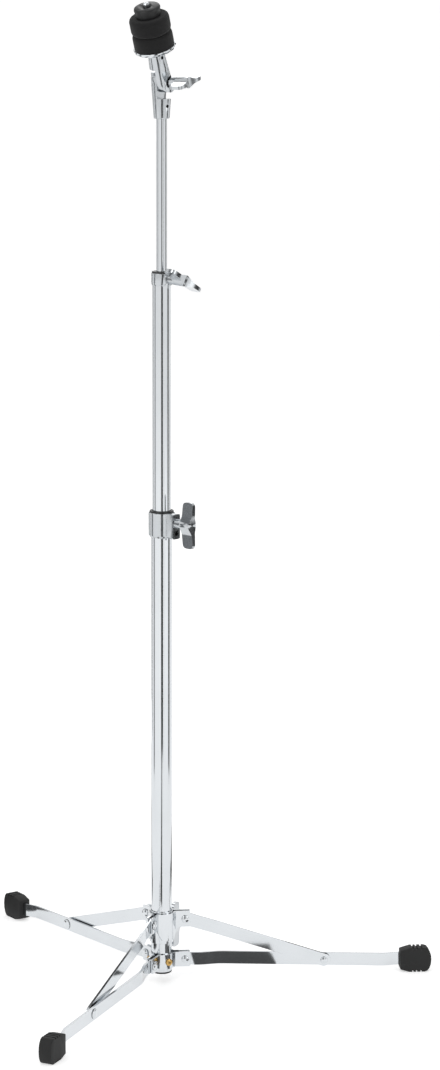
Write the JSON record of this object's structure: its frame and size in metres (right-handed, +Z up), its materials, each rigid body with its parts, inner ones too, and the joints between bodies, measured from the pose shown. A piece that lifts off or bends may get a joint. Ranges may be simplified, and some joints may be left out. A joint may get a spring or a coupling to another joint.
{
  "type": "cymbal stand",
  "caption": "Folding cymbal stand: flat-strap tripod on a sliding collar, telescoping tubes with wing-screw clamps, and a tilter with a seat cup, felts and a top nut.",
  "frame": {"origin": "on the floor, on the common axis of the tubes", "axes": "+Z up along the tubes; +X along the first leg; the others follow at 120 and 240 degrees"},
  "size_m": [0.5227, 0.5909, 1.1962],
  "materials": {
    "chrome": "polished chrome plate",
    "cast_chrome": "chrome-plated zinc casting",
    "brass": "brass-coloured plate",
    "black_steel": "black oxide",
    "rubber": "matte black rubber",
    "plastic": "black moulded plastic",
    "felt": "black pressed felt"
  },
  "bodies": {
    "base": {"lower_tube": "chrome", "tube_end_plug": "plastic", "lower_hub_plate_1": "chrome", "lower_hub_plate_2": "chrome", "lower_hub_plate_3": "chrome", "hub_screw_1": "brass", "hub_screw_2": "brass", "hub_screw_3": "brass", "leg_pivot_rivet_1": "chrome", "leg_pivot_rivet_2": "chrome", "leg_pivot_rivet_3": "chrome", "clamp_body": "cast_chrome", "clamp_bushing": "plastic", "clamp_set_screw": "black_steel"},
    "collar": {"collar_sleeve": "chrome", "upper_hub_plate_1": "chrome", "upper_hub_plate_2": "chrome", "upper_hub_plate_3": "chrome", "brace_pivot_rivet_1": "chrome", "brace_pivot_rivet_2": "chrome", "brace_pivot_rivet_3": "chrome"},
    "lock_screw": {"base_lock_screw": "cast_chrome"},
    "clamp_screw": {"clamp_wing_screw": "cast_chrome"},
    "leg_arm_1": {"leg_1": "chrome", "foot_1": "rubber", "brace_spacer_1": "cast_chrome", "leg_rivet_1": "chrome"},
    "brace_arm_1": {"brace_1": "chrome", "brace_rivet_1": "chrome"},
    "leg_arm_2": {"leg_2": "chrome", "foot_2": "rubber", "brace_spacer_2": "cast_chrome", "leg_rivet_2": "chrome"},
    "brace_arm_2": {"brace_2": "chrome", "brace_rivet_2": "chrome"},
    "leg_arm_3": {"leg_3": "chrome", "foot_3": "rubber", "brace_spacer_3": "cast_chrome", "leg_rivet_3": "chrome"},
    "brace_arm_3": {"brace_3": "chrome", "brace_rivet_3": "chrome"},
    "middle_slider": {"middle_tube_guide": "plastic"},
    "middle": {"middle_tube": "chrome", "height_collar": "cast_chrome", "rod_bushing": "plastic"},
    "height_screw": {"height_wing_screw": "cast_chrome"},
    "rod_slider": {"rod_guide": "plastic"},
    "upper": {"upper_rod": "chrome", "tilter_base": "cast_chrome", "base_set_screw": "black_steel"},
    "tilt_screw": {"tilter_wing_screw": "cast_chrome"},
    "tilter_head": {"tilter_top": "cast_chrome", "top_set_screw": "black_steel", "tilter_washer": "black_steel", "cymbal_rod": "chrome", "seat_cup": "chrome", "cymbal_sleeve": "plastic", "lower_felt": "felt", "upper_felt": "felt"},
    "nut": {"top_nut": "plastic"}
  },
  "joints": [
    {"name": "collar_slide", "type": "slide", "parent": "base", "child": "collar", "axis": [0, 0, 1], "range_m": [0, 0.3043]},
    {"name": "leg_fold_1", "type": "hinge", "parent": "base", "child": "leg_arm_1", "pos_m": [0.0287, 0, 0.0269], "axis": [0, -1, 0], "range_deg": [0, 92.4]},
    {"name": "brace_fold_1", "type": "hinge", "parent": "collar", "child": "brace_arm_1", "pos_m": [0.0287, 0, 0.0786], "axis": [0, 1, 0], "range_deg": [0, 71.4]},
    {"name": "leg_fold_2", "type": "hinge", "parent": "base", "child": "leg_arm_2", "pos_m": [-0.01435, 0.02485, 0.0269], "axis": [0.866, 0.5, 0], "range_deg": [0, 92.4]},
    {"name": "brace_fold_2", "type": "hinge", "parent": "collar", "child": "brace_arm_2", "pos_m": [-0.01435, 0.02485, 0.0786], "axis": [-0.866, -0.5, 0], "range_deg": [0, 71.4]},
    {"name": "leg_fold_3", "type": "hinge", "parent": "base", "child": "leg_arm_3", "pos_m": [-0.01435, -0.02485, 0.0269], "axis": [-0.866, 0.5, 0], "range_deg": [0, 92.4]},
    {"name": "brace_fold_3", "type": "hinge", "parent": "collar", "child": "brace_arm_3", "pos_m": [-0.01435, -0.02485, 0.0786], "axis": [0.866, -0.5, 0], "range_deg": [0, 71.4]},
    {"name": "lock_screw_turn", "type": "hinge", "parent": "collar", "child": "lock_screw", "pos_m": [0, 0, 0.0605], "axis": [0.5, 0.866, 0], "continuous": true},
    {"name": "clamp_screw_turn", "type": "hinge", "parent": "base", "child": "clamp_screw", "pos_m": [0, 0, 0.5775], "axis": [0.6561, -0.7547, 0], "continuous": true},
    {"name": "middle_height", "type": "slide", "parent": "base", "child": "middle_slider", "axis": [0, 0, 1], "range_m": [-0.23, 0.12]},
    {"name": "middle_swivel", "type": "hinge", "parent": "middle_slider", "child": "middle", "pos_m": [0, 0, 0.6], "axis": [0, 0, 1], "continuous": true},
    {"name": "height_screw_turn", "type": "hinge", "parent": "middle", "child": "height_screw", "pos_m": [0, 0, 0.8705], "axis": [0.6561, -0.7547, 0], "continuous": true},
    {"name": "rod_height", "type": "slide", "parent": "middle", "child": "rod_slider", "axis": [0, 0, 1], "range_m": [-0.165, 0.11]},
    {"name": "rod_swivel", "type": "hinge", "parent": "rod_slider", "child": "upper", "pos_m": [0, 0, 0.9], "axis": [0, 0, 1], "continuous": true},
    {"name": "tilt_screw_turn", "type": "hinge", "parent": "upper", "child": "tilt_screw", "pos_m": [0, 0, 1.1018], "axis": [0.848, -0.5299, 0], "continuous": true},
    {"name": "tilt", "type": "hinge", "parent": "upper", "child": "tilter_head", "pos_m": [0, 0, 1.1018], "axis": [0.848, -0.5299, 0], "range_deg": [-103, 57]},
    {"name": "nut_turn", "type": "hinge", "parent": "tilter_head", "child": "nut", "pos_m": [-0.01864, -0.02982, 1.18465], "axis": [-0.2071, -0.3314, 0.9205], "continuous": true}
  ],
  "couplings": [
    {"joint": "leg_fold_1", "follows": "collar_slide", "rad_per_m": 5.2938},
    {"joint": "brace_fold_1", "follows": "collar_slide", "rad_per_m": 4.0883},
    {"joint": "leg_fold_2", "follows": "collar_slide", "rad_per_m": 5.2938},
    {"joint": "brace_fold_2", "follows": "collar_slide", "rad_per_m": 4.0883},
    {"joint": "leg_fold_3", "follows": "collar_slide", "rad_per_m": 5.2938},
    {"joint": "brace_fold_3", "follows": "collar_slide", "rad_per_m": 4.0883}
  ]
}
